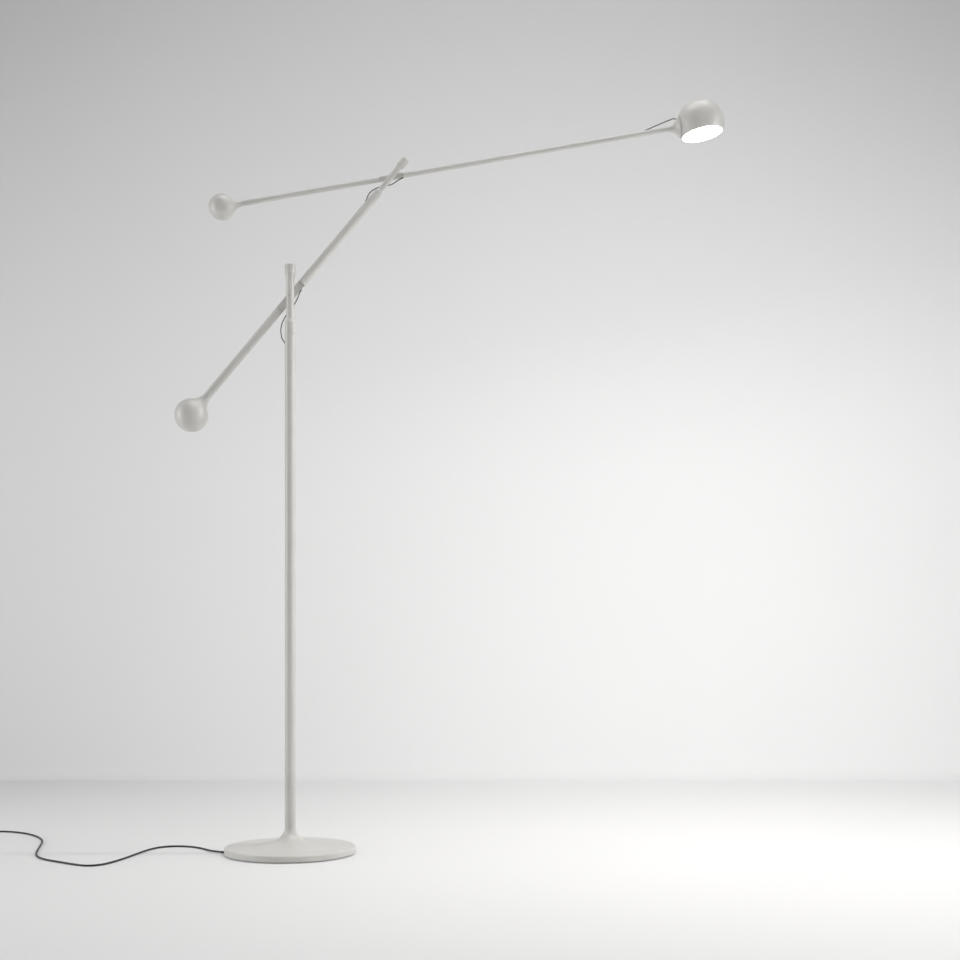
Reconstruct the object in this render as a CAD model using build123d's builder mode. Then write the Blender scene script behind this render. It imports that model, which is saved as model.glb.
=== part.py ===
from build123d import *
import os
from math import asin, atan2, cos, degrees, pi, radians, sin, sqrt, tan

os.makedirs("parts", exist_ok=True)

# An adjustable arm floor lamp. Millimetres, +Z up, origin at the middle of the base on the floor.
# Two balanced arms lie in planes parallel to XZ, each a little behind the post.

# ---- driving dimensions ----
running = 0.05  # radial gap of a turning or sliding fit
seam = 0.3  # visible gap where two turned pieces meet
through = 1.0  # how far a cut runs past the face it leaves

base_radius = 150.0
pad_thickness = 3.0
pad_inset = 18.0  # the pad's edge inside the base's rim
rim_height = 16.4
rim_round = 3.6
cover_wall = 1.5
flare_radius = 80.0  # where the nearly flat cover starts to flare up
flare_height = 19.0
flare_pull = (46.0, 22.0)  # the flare's curve is drawn towards these
neck_pull = 34.0
neck_height = 60.0  # top of the cover, where the post stands on it
weight_gap = 2.5  # weight to cover, all round
weight_edge = 13.5
weight_bevel = (2.0, 1.5)
weight_crown = (40.0, 1.0)  # radius, and height over the flare
weight_top_gap = 1.0  # under the cover at the flare
boss_radius = 22.0
boss_height = 25.0
groove_width = 9.0  # channel for the cord under the weight
groove_depth = 7.5

post_radius = 12.5
post_wall = 1.5
post_top = 1197.0
collar_height = 8.0
lead_exit_drop = 21.0  # below the post's top

stud_radius = 5.0
stud_bore = 3.2
foot_height = 95.0
nut_height = 5.0
nut_flats = 17.0
nut_recess_radius = 14.0
stud_rise = 30.0  # stud above the weight's boss
stud_set_back = 3.5  # stud's lower end above the pad
nut_set_back = 0.5
washer_height = 1.0
washer_radius = 12.0

spigot_radius = 8.0
bush_length = 15.0  # below the collar
spigot_past_bush = 2.5
clip_gap = 0.3
clip_thickness = 1.0
clip_groove = 1.1  # width
clip_groove_depth = 0.8
clip_outer = 1.6  # beyond the spigot
clip_opening = (6.0, 5.0)
waist_radius = 9.25
waist_start = 32.0  # these four are heights above the post's top
waist_end = 124.0
waist_low_taper = 7.0
waist_high_taper = 14.0
cap_start = 149.0
pivot_1_rise = 85.0
cap_length = 9.0
cap_round = 1.5
cap_spigot_radius = 3.0
cap_spigot_length = 10.0
cap_socket_depth = 12.0
elbow_cap_round = 0.8

lead_radius = 1.1
lead_gap = 1.0  # lead loops stop this short of the holes they enter
grommet_radius = 2.3
thin_grommet_radius = 1.8  # in the upper arm
grommet_length = 4.0
bore_clearance = 0.3  # lead in the lower hub's bore
thin_bore_clearance = 0.15
lead_channel_clearance = 0.6
lead_channel_lap = 3.0
inner_lead_bend = 6.0
post_lead_bend = 4.0

lower_y = 4.0  # plane of the lower arm's axis
lower_rise = 50.0
lower_radius = 9.0
lower_wall = 1.2
lower_length = 360.8  # pivot 1 to pivot 2
lower_tail = 355.6  # pivot 1 to ball centre
lower_ball_radius = 38.6
lower_neck_fillet = 31.1
lower_neck_length = 75.0  # ball centre to the seam
ball_stud_radius = 4.0
thin_ball_stud_radius = 3.0
stud_start = 2.0  # stud's end past the ball's centre
stud_plug_gap = 3.0  # plug behind the ball's seam
lower_stud_plug = 22.0
upper_stud_plug = 18.0
lower_spigot = 16.0
upper_spigot = 12.0
lower_hub_half = 48.0
lower_flat_half = 41.0
lower_lead_in = 25.0
post_flat_y = 0.5
post_flat_inset = 3.0  # flat's ends inside the waist's
pin_head_depth = 1.95  # pin head's thickness
pin_hex = 1.5
pin_hex_depth = 1.6
slot_width_1 = 1.2
slot_depth_1 = 1.0
nut_recess_gap = 0.3
spring_1_y = 8.3
nut_1_y = 9.3
nut_1_end = 12.4
washer_1_thickness = 1.0
washer_1_radius = 8.0
pin_1_radius = 3.0
pin_1_head = 3.5
nut_1_radius = 4.6

elbow_seam = 69.0  # before pivot 2
elbow_waist_radius = 6.3
elbow_low = 38.0
elbow_high = 28.0
elbow_taper = 6.0
elbow_end = 53.4
elbow_cap_length = 4.0
lower_lead_out = 78.0

upper_y = 7.0  # plane of the upper arm's axis
upper_rise = 9.9
upper_radius = 6.0
upper_wall = 1.0
upper_tail = 396.6
upper_ball_radius = 29.9
upper_neck_fillet = 34.0
upper_neck_length = 56.0
upper_hub_half = 40.0
upper_flat_half = 28.0
upper_lead_in = 22.7
elbow_flat_back = 0.5  # elbow flat behind the lower arm's axis
washer_2_thickness = 0.8
washer_2_radius = 5.4
pin_2_radius = 2.0
pin_2_head = 2.8
pin_2_head_back = -0.6
pin_2_hex = 1.25
pin_2_hex_depth = 1.2
nut_2_radius = 3.2
slot_width_2 = 0.9
slot_depth_2 = 0.8
nut_2_recess_gap = 0.2
spring_2_y = 10.0
nut_2_y = 10.8
nut_2_end = 12.8
pivot_play = 0.05  # washer to the turning arm

head_distance = 724.6  # pivot 2 to head centre
head_radius = 55.0
head_wall = 1.2
opening_drop = 25.3  # opening plane below the head's centre
bezel_width = 1.4
diffuser_thickness = 2.5
diffuser_set_back = 0.5
cup_lip_edge = 0.03  # thickness left at the cup's lip
cup_flare = 30.0
cup_arc = 33.7
cup_clearance = 1.1
cup_sleeve = 18.0
ring_outer = 13.8
ring_inner = 9.2
ring_depth = 7.0
magnet_radius = 8.5
magnet_gap = 0.6  # magnet to the head
magnet_depth = 12.5
upper_lead_out = 128.0  # before the head centre

sink_inset = 3.5  # these three are measured in from the opening's inner edge
board_inset = 14.5
reflector_inset = 17.5
led_inset = 12.0  # from the reflector's top edge
reflector_wall = 1.0
board_thickness = 1.6

jack_along = -0.45  # jack direction from the head's centre, in the upper arm's frame
jack_up = 0.27
jack_back = 0.86
jack_radius = 4.0
plug_stand = 7.0  # from the head's surface to the plug's bend
plug_radius = 3.2
plug_tail = 9.0

cord_radius = 2.2
relief_length = 23.0
relief_inside = 14.0
relief_root = 3.1
relief_tip = 2.65
cord_exit_inset = 0.95
cord_exit_turn = 187.711  # degrees from +X
cord_exit_height = 5.2
cord_heading = 150.0  # degrees from +X
coil_centre = (-850.0, 323.6)
coil_mean_radius = 24.0
coil_stub = 18.0
adapter_width = 36.0
adapter_length = 60.0
adapter_height = 26.0
adapter_boot = 22.0
pin_spacing = 19.0
plug_pin_radius = 2.0
plug_pin_length = 19.0

# ---- places that follow from the sizes ----
pad_radius = base_radius - pad_inset
lead_exit_height = post_top - lead_exit_drop
waist_low = post_top + waist_start
waist_high = post_top + waist_end
cap_seam = post_top + cap_start
cap_top = cap_seam + cap_length
pivot_1_height = post_top + pivot_1_rise
lip_radius = upper_radius + cup_arc - sqrt(cup_arc**2 - cup_flare**2)
cup_gap = sqrt((head_radius + cup_clearance) ** 2 - (lip_radius - cup_lip_edge) ** 2)
magnet_face = head_radius - cup_gap + magnet_gap
cord_exit = (
    (base_radius - cord_exit_inset) * cos(radians(cord_exit_turn)),
    (base_radius - cord_exit_inset) * sin(radians(cord_exit_turn)),
    cord_exit_height,
)

# ---- frames of the two arms: x along the arm, y square to it and upwards, z to the front ----
lower_cos = cos(radians(lower_rise))
lower_sin = sin(radians(lower_rise))
upper_cos = cos(radians(upper_rise))
upper_sin = sin(radians(upper_rise))
pivot_1 = (0, lower_y, pivot_1_height)
pivot_2 = (lower_length * lower_cos, lower_y, pivot_1_height + lower_length * lower_sin)
lower = Plane(origin=pivot_1, x_dir=(lower_cos, 0, lower_sin), z_dir=(0, -1, 0))
elbow = Plane(origin=pivot_2, x_dir=(lower_cos, 0, lower_sin), z_dir=(0, -1, 0))
upper = Plane(origin=(pivot_2[0], upper_y, pivot_2[2]), x_dir=(upper_cos, 0, upper_sin), z_dir=(0, -1, 0))
head = Plane(origin=upper.from_local_coords((head_distance, 0, 0)), x_dir=upper.x_dir, z_dir=upper.z_dir)
post_end = Plane(origin=(0, 0, post_top))
post_axis = Axis((0, 0, 0), (0, 0, 1))
lower_axis = Axis(lower.origin, lower.x_dir)
upper_axis = Axis(upper.origin, upper.x_dir)
head_axis = Axis(head.origin, head.y_dir)


def station(frame, distance):
    """A plane square to an arm at a distance along it, facing the far end, its x to the front."""
    return Plane(origin=frame.from_local_coords((distance, 0, 0)), x_dir=frame.z_dir, z_dir=frame.x_dir)


def facing_back(frame, depth):
    """A plane through a pivot, its normal pointing to the back, at a depth along +Y."""
    return Plane(origin=(frame.origin.X, depth, frame.origin.Z), x_dir=(1, 0, 0), z_dir=(0, 1, 0))


def places(frame, points):
    """Points in a frame turned into places in the lamp."""
    return [frame.from_local_coords(point) for point in points]


def corner_radii(points, share=0.45):
    """The largest easy arc at each corner of a lead: a share of its shorter run over tan of half the turn."""
    corners = [Vector(point) for point in points]
    radii = []
    for before, here, after in zip(corners, corners[1:], corners[2:]):
        run_in = here - before
        run_out = after - here
        half_turn = radians(run_in.get_angle(run_out)) / 2
        radii.append(share * min(run_in.length, run_out.length) / tan(half_turn))
    return radii


def trimmed(points, gap):
    """A lead's points with both ends drawn back a little, so that it only nearly meets what it joins."""
    corners = [Vector(point) for point in points]
    first = corners[0] + (corners[1] - corners[0]).normalized() * gap
    last = corners[-1] + (corners[-2] - corners[-1]).normalized() * gap
    return [first] + corners[1:-1] + [last]


def report_lead(name, piece, path_length, radius, radii):
    """Print a lead's radii and compare its volume with its section times its length."""
    expected = pi * radius**2 * path_length
    print(name, "length", round(path_length, 1), "volume ratio", round(piece.volume / expected, 4))
    print("   radii", " ".join(str(round(value)) for value in radii))


def finish(builder, name):
    """Label a finished piece and write it."""
    builder.part.label = name
    export_step(builder.part, f"parts/{name}.step")


# ---- base ----
def cover_line(inset):
    """The cover's line from its foot to its neck, moved inwards by a wall; closed down the axis."""
    edge = base_radius - inset
    neck = post_radius - inset
    top = rim_height - inset
    Line((0, pad_thickness), (edge, pad_thickness))
    Line((edge, pad_thickness), (edge, rim_height - rim_round))
    RadiusArc((edge, rim_height - rim_round), (base_radius - rim_round, top), -(rim_round - inset))
    Line((base_radius - rim_round, top), (flare_radius, flare_height - inset))
    Bezier(
        (flare_radius, flare_height - inset),
        (flare_pull[0], flare_pull[1] - inset),
        (neck, neck_pull),
        (neck, neck_height),
    )
    Line((neck, neck_height), (0, neck_height))
    Line((0, neck_height), (0, pad_thickness))


relief_dir = Vector(cos(radians(cord_heading)), sin(radians(cord_heading)), 0)
relief_start = Vector(cord_exit) - relief_dir * relief_inside
relief_plane = Plane(origin=relief_start, x_dir=(0, 0, 1), z_dir=relief_dir)

with BuildPart() as base_cover:
    with BuildSketch(Plane.XZ):
        with BuildLine():
            cover_line(0)
        make_face()
    revolve(axis=post_axis)
    with BuildSketch(Plane.XZ):
        with BuildLine():
            cover_line(cover_wall)
        make_face()
    revolve(axis=post_axis, mode=Mode.SUBTRACT)
    with BuildSketch(relief_plane):
        SlotCenterPoint((-2 * relief_root, 0), (0, 0), 2 * (relief_root + seam))
    extrude(amount=relief_length, mode=Mode.SUBTRACT)
finish(base_cover, "base_cover")

weight_radius = base_radius - cover_wall - weight_gap
stud_low = pad_thickness + stud_set_back
nut_low = stud_low + nut_set_back
groove_length = sqrt(relief_start.X**2 + relief_start.Y**2)
groove_turn = degrees(atan2(relief_start.Y, relief_start.X))
washer_seat = nut_low + nut_height + washer_height
with BuildPart() as base_weight:
    with BuildSketch(Plane.XZ):
        with BuildLine():
            Polyline(
                (0, pad_thickness),
                (weight_radius, pad_thickness),
                (weight_radius, weight_edge - weight_bevel[1]),
                (weight_radius - weight_bevel[0], weight_edge),
                (flare_radius, flare_height - cover_wall - weight_top_gap),
                (weight_crown[0], flare_height + weight_crown[1]),
                (boss_radius, boss_height),
                (0, boss_height),
                close=True,
            )
        make_face()
    revolve(axis=post_axis)
    with Locations((0, 0, 0)):
        Cylinder(stud_radius + running, 4 * boss_height, mode=Mode.SUBTRACT)
    with BuildSketch(Plane.XY.offset(pad_thickness)):
        Circle(nut_recess_radius)
    extrude(amount=washer_seat - pad_thickness, mode=Mode.SUBTRACT)
    with BuildSketch(Plane.XY.offset(pad_thickness)):
        Rectangle(groove_length, groove_width, rotation=groove_turn, align=(Align.MIN, Align.CENTER))
        with Locations((relief_start.X - 4 * relief_dir.X, relief_start.Y - 4 * relief_dir.Y)):
            Rectangle(2 * relief_length, groove_width, rotation=cord_heading, align=(Align.MIN, Align.CENTER))
    extrude(amount=groove_depth, mode=Mode.SUBTRACT)
finish(base_weight, "base_weight")

with BuildPart() as floor_pad:
    with BuildSketch(Plane.XY):
        Circle(pad_radius)
    extrude(amount=pad_thickness)
finish(floor_pad, "floor_pad")

with BuildPart() as post_foot:
    with BuildSketch(Plane.XY.offset(boss_height)):
        Circle(post_radius - post_wall - running)
        Circle(stud_radius + running, mode=Mode.SUBTRACT)
    extrude(amount=foot_height - boss_height)
    chamfer(post_foot.edges().filter_by(GeomType.CIRCLE).group_by(Axis.Z)[-1], 1.0)
finish(post_foot, "post_foot")

with BuildPart() as post_stud:
    with BuildSketch(Plane.XY.offset(stud_low)):
        Circle(stud_radius)
        Circle(stud_bore, mode=Mode.SUBTRACT)
    extrude(amount=boss_height + stud_rise - stud_low)
finish(post_stud, "post_stud")

with BuildPart() as stud_nut:
    with BuildSketch(Plane.XY.offset(nut_low)):
        RegularPolygon(nut_flats / 2, 6, major_radius=False)
        Circle(stud_radius + running, mode=Mode.SUBTRACT)
    extrude(amount=nut_height)
    with BuildSketch(Plane.XY.offset(nut_low + nut_height)):
        Circle(washer_radius)
        Circle(stud_radius + running, mode=Mode.SUBTRACT)
    extrude(amount=washer_height)
finish(stud_nut, "stud_nut")

post_exit = Vector(-post_radius, 0, lead_exit_height)
post_exit_dir = Vector(-0.72, 0, 0.69).normalized()
post_exit_plane = Plane(origin=post_exit, z_dir=post_exit_dir)
with BuildPart() as post_tube:
    with BuildSketch(Plane.XY.offset(neck_height + seam)):
        Circle(post_radius)
        Circle(post_radius - post_wall, mode=Mode.SUBTRACT)
    extrude(amount=post_top - neck_height - seam)
    with BuildSketch(post_exit_plane):
        Circle(grommet_radius)
    extrude(amount=6, both=True, mode=Mode.SUBTRACT)
finish(post_tube, "post_tube")

with BuildPart() as post_grommet:
    with BuildSketch(post_exit_plane):
        Circle(grommet_radius - running)
        Circle(lead_radius + running, mode=Mode.SUBTRACT)
    extrude(amount=-1.2 * post_wall)
finish(post_grommet, "post_grommet")

bush_low = post_top - bush_length
with BuildPart() as swivel_bush:
    with BuildSketch(Plane.XY.offset(bush_low)):
        Circle(post_radius - post_wall - running)
        Circle(spigot_radius + running, mode=Mode.SUBTRACT)
    extrude(amount=bush_length + seam)
    with BuildSketch(Plane.XY.offset(post_top + seam)):
        Circle(post_radius)
        Circle(spigot_radius + running, mode=Mode.SUBTRACT)
    extrude(amount=collar_height - seam)
finish(swivel_bush, "swivel_bush")

# ---- post head ----
head_low = post_top + collar_height + seam
spigot_low = bush_low - spigot_past_bush
clip_low = bush_low - clip_gap - clip_thickness
with BuildPart() as post_head:
    with BuildSketch(Plane.XZ):
        with BuildLine():
            Polyline(
                (0, spigot_low),
                (spigot_radius - clip_groove_depth, spigot_low),
                (spigot_radius - clip_groove_depth, clip_low + clip_groove),
                (spigot_radius, clip_low + clip_groove),
                (spigot_radius, head_low),
                (post_radius, head_low),
                (post_radius, waist_low - waist_low_taper),
                (waist_radius, waist_low),
                (waist_radius, waist_high),
                (post_radius, waist_high + waist_high_taper),
                (post_radius, cap_seam - seam),
                (0, cap_seam - seam),
                close=True,
            )
        make_face()
    revolve(axis=post_axis)
    with BuildSketch(Plane.XZ.offset(-post_flat_y)):
        with Locations((0, (waist_low + waist_high + post_flat_inset) / 2)):
            Rectangle(4 * waist_radius, waist_high - waist_low - 2 * post_flat_inset)
    extrude(amount=-2 * post_radius, mode=Mode.SUBTRACT)
    with BuildSketch(facing_back(lower, -2 * waist_radius)):
        Circle(pin_1_radius + running)
    extrude(amount=4 * waist_radius, mode=Mode.SUBTRACT)
    with BuildSketch(facing_back(lower, -2 * waist_radius)):
        Circle(pin_1_head + running)
    extrude(amount=waist_radius + pin_head_depth + 2 * running, mode=Mode.SUBTRACT)
    with BuildSketch(Plane.XY.offset(cap_seam - cap_socket_depth)):
        Circle(cap_spigot_radius + running)
    extrude(amount=cap_socket_depth + through, mode=Mode.SUBTRACT)
finish(post_head, "post_head")

with BuildPart() as swivel_clip:
    with BuildSketch(Plane.XY.offset(clip_low)):
        Circle(spigot_radius + clip_outer)
        Circle(spigot_radius - clip_groove_depth + running, mode=Mode.SUBTRACT)
        with Locations((spigot_radius, 0)):
            Rectangle(*clip_opening, mode=Mode.SUBTRACT)
    extrude(amount=clip_thickness)
finish(swivel_clip, "swivel_clip")

with BuildPart() as post_cap:
    with BuildSketch(Plane.XY.offset(cap_seam)):
        Circle(post_radius)
    extrude(amount=cap_top - cap_seam)
    fillet(post_cap.edges().filter_by(GeomType.CIRCLE).group_by(Axis.Z)[-1], cap_round)
    with BuildSketch(Plane.XY.offset(cap_seam)):
        Circle(cap_spigot_radius)
    extrude(amount=-cap_spigot_length)
finish(post_cap, "post_cap")

# ---- pivot 1: pin pressed in the post head, lower hub turning on it ----
washer_1_back = post_flat_y + washer_1_thickness
lower_flat_y = washer_1_back + pivot_play
with BuildPart() as pivot_pin_1:
    with BuildSketch(facing_back(lower, -waist_radius)):
        Circle(pin_1_head)
    extrude(amount=pin_head_depth)
    with BuildSketch(facing_back(lower, pin_head_depth - waist_radius)):
        Circle(pin_1_radius)
    extrude(amount=waist_radius - pin_head_depth + nut_1_end)
    with BuildSketch(facing_back(lower, -waist_radius)):
        RegularPolygon(pin_hex, 6, major_radius=False)
    extrude(amount=pin_hex_depth, mode=Mode.SUBTRACT)
finish(pivot_pin_1, "pivot_pin_1")

with BuildPart() as friction_washer_1:
    with BuildSketch(facing_back(lower, post_flat_y)):
        Circle(washer_1_radius)
        Circle(pin_1_radius + running, mode=Mode.SUBTRACT)
    extrude(amount=washer_1_thickness)
finish(friction_washer_1, "friction_washer_1")

with BuildPart() as disc_spring_1:
    with BuildSketch(facing_back(lower, spring_1_y)):
        Circle(nut_1_radius)
        Circle(pin_1_radius + running, mode=Mode.SUBTRACT)
    extrude(amount=nut_1_y - spring_1_y)
finish(disc_spring_1, "disc_spring_1")

with BuildPart() as pivot_nut_1:
    with BuildSketch(facing_back(lower, nut_1_y)):
        Circle(nut_1_radius)
        Circle(pin_1_radius + running, mode=Mode.SUBTRACT)
    extrude(amount=nut_1_end - nut_1_y)
    with BuildSketch(facing_back(lower, nut_1_end)):
        Rectangle(2 * nut_1_radius, slot_width_1)
    extrude(amount=-slot_depth_1, mode=Mode.SUBTRACT)
finish(pivot_nut_1, "pivot_nut_1")

# ---- lower arm ----
lower_bore = lower_radius - lower_wall
lower_plug = lower_bore - running
lower_tail_seam = -lower_tail + lower_neck_length
lower_elbow_seam = lower_length - elbow_seam


def ball_profile(centre, ball_radius, neck_radius, neck_fillet, seam_at):
    """Half outline of a counterweight: ball, neck fillet tangent to ball and tube, straight to the seam."""
    reach = sqrt((ball_radius + neck_fillet) ** 2 - (neck_radius + neck_fillet) ** 2)
    share = ball_radius / (ball_radius + neck_fillet)
    touch = (centre + reach * share, (neck_radius + neck_fillet) * share)
    Line((centre - ball_radius, 0), (seam_at, 0))
    Line((seam_at, 0), (seam_at, neck_radius))
    Line((seam_at, neck_radius), (centre + reach, neck_radius))
    neck_turn = asin(reach / (ball_radius + neck_fillet)) / 2
    neck_middle = (
        centre + reach - neck_fillet * sin(neck_turn),
        neck_radius + neck_fillet * (1 - cos(neck_turn)),
    )
    ThreePointArc((centre + reach, neck_radius), neck_middle, touch)
    crown_turn = radians(45)
    crown = (centre - ball_radius * sin(crown_turn), ball_radius * cos(crown_turn))
    ThreePointArc(touch, crown, (centre - ball_radius, 0))


with BuildPart() as lower_ball:
    with BuildSketch(lower):
        with BuildLine():
            ball_profile(
                -lower_tail, lower_ball_radius, lower_radius, lower_neck_fillet, lower_tail_seam - seam
            )
        make_face()
    revolve(axis=lower_axis)
    with BuildSketch(station(lower, -lower_tail)):
        Circle(ball_stud_radius + running)
    extrude(amount=lower_neck_length, mode=Mode.SUBTRACT)
finish(lower_ball, "lower_ball")

with BuildPart() as lower_ball_stud:
    with BuildSketch(station(lower, -lower_tail + stud_start)):
        Circle(ball_stud_radius)
    extrude(amount=lower_neck_length - stud_start + stud_plug_gap)
    with BuildSketch(station(lower, lower_tail_seam + stud_plug_gap)):
        Circle(lower_plug)
    extrude(amount=lower_stud_plug)
finish(lower_ball_stud, "lower_ball_stud")

with BuildPart() as lower_tail_tube:
    with BuildSketch(station(lower, lower_tail_seam)):
        Circle(lower_radius)
        Circle(lower_bore, mode=Mode.SUBTRACT)
    extrude(amount=-lower_hub_half - lower_tail_seam)
finish(lower_tail_tube, "lower_tail_tube")

lower_bore_in = lower.from_local_coords((lower_lead_in, -lower_radius, 0))
lower_bore_meet = lower.from_local_coords((lower_hub_half, 0, 0))
lower_bore_dir = lower_bore_meet - lower_bore_in
with BuildPart() as lower_hub:
    with BuildSketch(station(lower, -lower_hub_half + seam)):
        Circle(lower_radius)
    extrude(amount=2 * (lower_hub_half - seam))
    with BuildSketch(station(lower, -lower_hub_half - lower_spigot)):
        Circle(lower_plug)
    extrude(amount=2 * (lower_hub_half + lower_spigot))
    with BuildSketch(Plane.XZ.offset(-lower_flat_y)):
        with Locations(Location((0, pivot_1_height), lower_rise)):
            Rectangle(2 * lower_flat_half, 4 * lower_radius)
    extrude(amount=4 * lower_radius, mode=Mode.SUBTRACT)
    with BuildSketch(facing_back(lower, 0)):
        Circle(pin_1_radius + running)
    extrude(amount=3 * lower_radius, mode=Mode.SUBTRACT)
    with BuildSketch(facing_back(lower, spring_1_y - running)):
        Circle(nut_1_radius + nut_recess_gap)
    extrude(amount=2 * lower_radius, mode=Mode.SUBTRACT)
    with BuildSketch(Plane(origin=lower_bore_in, z_dir=lower_bore_dir)):
        Circle(grommet_radius)
    extrude(amount=6, both=True, mode=Mode.SUBTRACT)
    with BuildSketch(Plane(origin=lower_bore_in, z_dir=lower_bore_dir)):
        Circle(lead_radius + bore_clearance)
    extrude(amount=lower_bore_dir.length, mode=Mode.SUBTRACT)
    with BuildSketch(station(lower, lower_hub_half - lead_channel_lap)):
        Circle(lead_radius + lead_channel_clearance)
    extrude(amount=2 * lower_spigot, mode=Mode.SUBTRACT)
finish(lower_hub, "lower_hub")

lower_exit = lower.from_local_coords((lower_length - lower_lead_out, lower_radius, 0))
lower_exit_meet = lower.from_local_coords((lower_length - lower_lead_out - 16, 0, 0))
lower_exit_dir = lower_exit - lower_exit_meet
with BuildPart() as link_tube:
    with BuildSketch(station(lower, lower_hub_half)):
        Circle(lower_radius)
        Circle(lower_bore, mode=Mode.SUBTRACT)
    extrude(amount=lower_elbow_seam - lower_hub_half)
    with BuildSketch(Plane(origin=lower_exit, z_dir=lower_exit_dir)):
        Circle(grommet_radius)
    extrude(amount=9, both=True, mode=Mode.SUBTRACT)
finish(link_tube, "link_tube")

elbow_flat_y = lower_y + elbow_flat_back
with BuildPart() as elbow_block:
    with BuildSketch(elbow):
        with BuildLine():
            Polyline(
                (-elbow_seam - 7, 0),
                (-elbow_seam - 7, lower_plug),
                (-elbow_seam + seam, lower_plug),
                (-elbow_seam + seam, lower_radius),
                (-elbow_low - elbow_taper, lower_radius),
                (-elbow_low, elbow_waist_radius),
                (elbow_high, elbow_waist_radius),
                (elbow_high + elbow_taper, lower_radius),
                (elbow_end - elbow_cap_length - seam, lower_radius),
                (elbow_end - elbow_cap_length - seam, 0),
                close=True,
            )
        make_face()
    revolve(axis=lower_axis)
    with BuildSketch(Plane.XZ.offset(-elbow_flat_y)):
        with Locations(Location((pivot_2[0], pivot_2[2]), lower_rise)):
            with Locations(((elbow_high - elbow_low) / 2, 0)):
                Rectangle(elbow_low + elbow_high + 2, 4 * lower_radius)
    extrude(amount=-2 * lower_radius, mode=Mode.SUBTRACT)
    with BuildSketch(facing_back(elbow, -lower_radius)):
        Circle(pin_2_radius + running)
    extrude(amount=3 * lower_radius, mode=Mode.SUBTRACT)
    with BuildSketch(facing_back(elbow, -lower_radius)):
        Circle(pin_2_head + running)
    extrude(amount=lower_radius - 0.5, mode=Mode.SUBTRACT)
    with BuildSketch(station(elbow, elbow_end - elbow_cap_length - cap_socket_depth)):
        Circle(cap_spigot_radius + running)
    extrude(amount=cap_socket_depth + through, mode=Mode.SUBTRACT)
finish(elbow_block, "elbow_block")

with BuildPart() as elbow_cap:
    with BuildSketch(station(elbow, elbow_end - elbow_cap_length)):
        Circle(lower_radius)
    extrude(amount=elbow_cap_length)
    fillet(elbow_cap.edges().filter_by(GeomType.CIRCLE).sort_by(Axis((0, 0, 0), elbow.x_dir))[-1:], elbow_cap_round)
    with BuildSketch(station(elbow, elbow_end - elbow_cap_length)):
        Circle(cap_spigot_radius)
    extrude(amount=-cap_spigot_length)
finish(elbow_cap, "elbow_cap")

with BuildPart() as lower_grommets:
    with BuildSketch(Plane(origin=lower_bore_in, z_dir=lower_bore_dir)):
        Circle(grommet_radius - running)
        Circle(lead_radius + running, mode=Mode.SUBTRACT)
    extrude(amount=grommet_length)
    with BuildSketch(Plane(origin=lower_exit, z_dir=lower_exit_dir)):
        Circle(grommet_radius - running)
        Circle(lead_radius + running, mode=Mode.SUBTRACT)
    extrude(amount=-2.5)
finish(lower_grommets, "lower_grommets")

# ---- pivot 2: pin pressed in the elbow block, upper hub turning on it ----
washer_2_back = elbow_flat_y + washer_2_thickness
upper_flat_y = washer_2_back + pivot_play
pin_2_front = lower_y - elbow_waist_radius
with BuildPart() as pivot_pin_2:
    with BuildSketch(facing_back(elbow, pin_2_front)):
        Circle(pin_2_head)
    extrude(amount=pin_2_head_back - pin_2_front)
    with BuildSketch(facing_back(elbow, pin_2_head_back)):
        Circle(pin_2_radius)
    extrude(amount=nut_2_end - pin_2_head_back)
    with BuildSketch(facing_back(elbow, pin_2_front)):
        RegularPolygon(pin_2_hex, 6, major_radius=False)
    extrude(amount=pin_2_hex_depth, mode=Mode.SUBTRACT)
finish(pivot_pin_2, "pivot_pin_2")

with BuildPart() as friction_washer_2:
    with BuildSketch(facing_back(elbow, elbow_flat_y)):
        Circle(washer_2_radius)
        Circle(pin_2_radius + running, mode=Mode.SUBTRACT)
    extrude(amount=washer_2_thickness)
finish(friction_washer_2, "friction_washer_2")

with BuildPart() as disc_spring_2:
    with BuildSketch(facing_back(elbow, spring_2_y)):
        Circle(nut_2_radius)
        Circle(pin_2_radius + running, mode=Mode.SUBTRACT)
    extrude(amount=nut_2_y - spring_2_y)
finish(disc_spring_2, "disc_spring_2")

with BuildPart() as pivot_nut_2:
    with BuildSketch(facing_back(elbow, nut_2_y)):
        Circle(nut_2_radius)
        Circle(pin_2_radius + running, mode=Mode.SUBTRACT)
    extrude(amount=nut_2_end - nut_2_y)
    with BuildSketch(facing_back(elbow, nut_2_end)):
        Rectangle(2 * nut_2_radius, slot_width_2)
    extrude(amount=-slot_depth_2, mode=Mode.SUBTRACT)
finish(pivot_nut_2, "pivot_nut_2")

# ---- upper arm ----
upper_bore = upper_radius - upper_wall
upper_plug = upper_bore - running
upper_tail_seam = -upper_tail + upper_neck_length
cup_mouth = head_distance - cup_gap
cup_seam = cup_mouth - cup_flare - 2
with BuildPart() as upper_ball:
    with BuildSketch(upper):
        with BuildLine():
            ball_profile(
                -upper_tail, upper_ball_radius, upper_radius, upper_neck_fillet, upper_tail_seam - seam
            )
        make_face()
    revolve(axis=upper_axis)
    with BuildSketch(station(upper, -upper_tail)):
        Circle(thin_ball_stud_radius + running)
    extrude(amount=upper_neck_length, mode=Mode.SUBTRACT)
finish(upper_ball, "upper_ball")

with BuildPart() as upper_ball_stud:
    with BuildSketch(station(upper, -upper_tail + stud_start)):
        Circle(thin_ball_stud_radius)
    extrude(amount=upper_neck_length - stud_start + stud_plug_gap)
    with BuildSketch(station(upper, upper_tail_seam + stud_plug_gap)):
        Circle(upper_plug)
    extrude(amount=upper_stud_plug)
finish(upper_ball_stud, "upper_ball_stud")

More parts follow.
